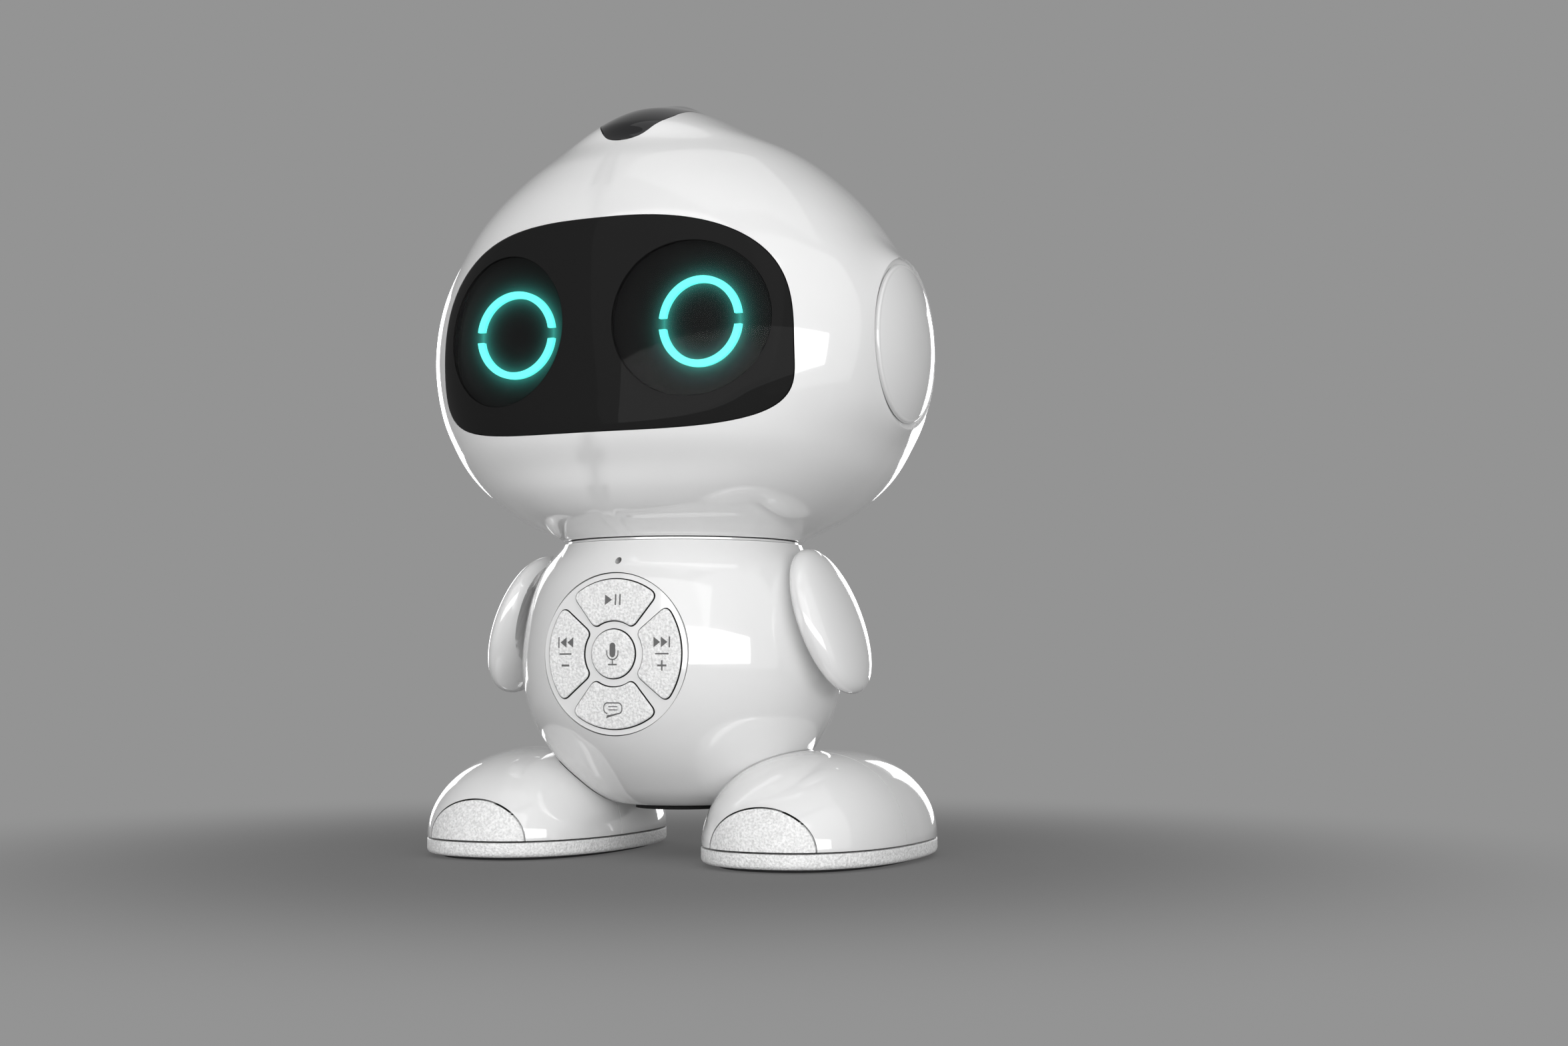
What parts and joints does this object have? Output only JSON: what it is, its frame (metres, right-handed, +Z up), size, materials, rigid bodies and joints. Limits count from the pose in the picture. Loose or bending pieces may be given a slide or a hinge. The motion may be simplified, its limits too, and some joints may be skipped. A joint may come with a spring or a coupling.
{
  "type": "talking robot for children",
  "caption": "Small standing humanoid talking robot with a large egg-shaped head, dark face lens with ring eyes, round keypad belly, paddle arms and shoe-shaped feet.",
  "frame": {"origin": "centre of the bounding box's bottom face, on the ground under the neck axis", "axes": "+Z up, -Y the way the face looks, +X the robot's left"},
  "size_m": [0.17, 0.133, 0.25],
  "materials": {
    "black": "moulded",
    "board": "solder-masked circuit board",
    "cell": "shrink-wrapped cell",
    "gloss": "high-gloss white moulded shell",
    "glow": "lit light guide",
    "lens": "smoked, mirror-polished",
    "matte": "fine spark-eroded texture",
    "rubber": "ribbed",
    "silicone": "soft silicone",
    "steel": "zinc plated"
  },
  "bodies": {
    "robot": {"head_front_shell": "gloss", "head_rear_cover": "gloss", "face_lens": "lens", "crown_touch_window": "lens", "eye_mask": "black", "eye_led_board": "board", "touch_sensor_board": "board", "eye_upper_arc_left": "glow", "eye_lower_arc_left": "glow", "eye_upper_arc_right": "glow", "eye_lower_arc_right": "glow", "ear_cap_left": "gloss", "ear_cap_right": "gloss", "neck_collar": "gloss", "neck_nut": "black", "neck_retainer": "black", "body_front_shell": "gloss", "body_rear_cover": "gloss", "keypad_bezel": "gloss", "keypad_membrane": "silicone", "keypad_board": "board", "microphone": "steel", "main_board": "board", "battery_cell": "cell", "battery_tray": "black", "speaker_basket": "steel", "speaker_cone": "black", "base_grille": "black", "power_switch_body": "black", "charging_socket": "steel", "arm_pivot_left": "steel", "arm_pivot_right": "steel", "foot_front_shell_left": "gloss", "foot_front_shell_right": "gloss", "foot_rear_shell_left": "gloss", "foot_rear_shell_right": "gloss", "toe_cap_left": "matte", "toe_cap_right": "matte", "sole_band_left": "matte", "sole_band_right": "matte", "sole_tread_left": "rubber", "sole_tread_right": "rubber", "foot_ballast_left": "steel", "foot_ballast_right": "steel", "ankle_screw_left": "steel", "ankle_screw_right": "steel"},
    "play_pause_key": {"play_pause_button": "matte"},
    "next_key": {"next_button": "matte"},
    "chat_key": {"chat_button": "matte"},
    "previous_key": {"previous_button": "matte"},
    "talk_key": {"talk_button": "matte"},
    "left_arm": {"arm_left": "gloss"},
    "right_arm": {"arm_right": "gloss"},
    "power_slider": {"power_switch_knob": "matte"}
  },
  "joints": [
    {"name": "play_pause_press", "type": "slide", "parent": "robot", "child": "play_pause_key", "axis": [0, 1, 0], "range_m": [0, 0.001], "stiffness_N_per_m": 600},
    {"name": "next_press", "type": "slide", "parent": "robot", "child": "next_key", "axis": [0, 1, 0], "range_m": [0, 0.001], "stiffness_N_per_m": 600},
    {"name": "chat_press", "type": "slide", "parent": "robot", "child": "chat_key", "axis": [0, 1, 0], "range_m": [0, 0.001], "stiffness_N_per_m": 600},
    {"name": "previous_press", "type": "slide", "parent": "robot", "child": "previous_key", "axis": [0, 1, 0], "range_m": [0, 0.001], "stiffness_N_per_m": 600},
    {"name": "talk_press", "type": "slide", "parent": "robot", "child": "talk_key", "axis": [0, 1, 0], "range_m": [0, 0.001], "stiffness_N_per_m": 600},
    {"name": "left_arm_swing", "type": "hinge", "parent": "robot", "child": "left_arm", "pos_m": [0.05, -0.0052, 0.084], "axis": [-1, 0, 0], "range_deg": [-25, 60]},
    {"name": "right_arm_swing", "type": "hinge", "parent": "robot", "child": "right_arm", "pos_m": [-0.05, -0.0052, 0.084], "axis": [-1, 0, 0], "range_deg": [-25, 60]},
    {"name": "power_switch_slide", "type": "slide", "parent": "robot", "child": "power_slider", "axis": [1, 0, 0], "range_m": [0, 0.0048]}
  ]
}
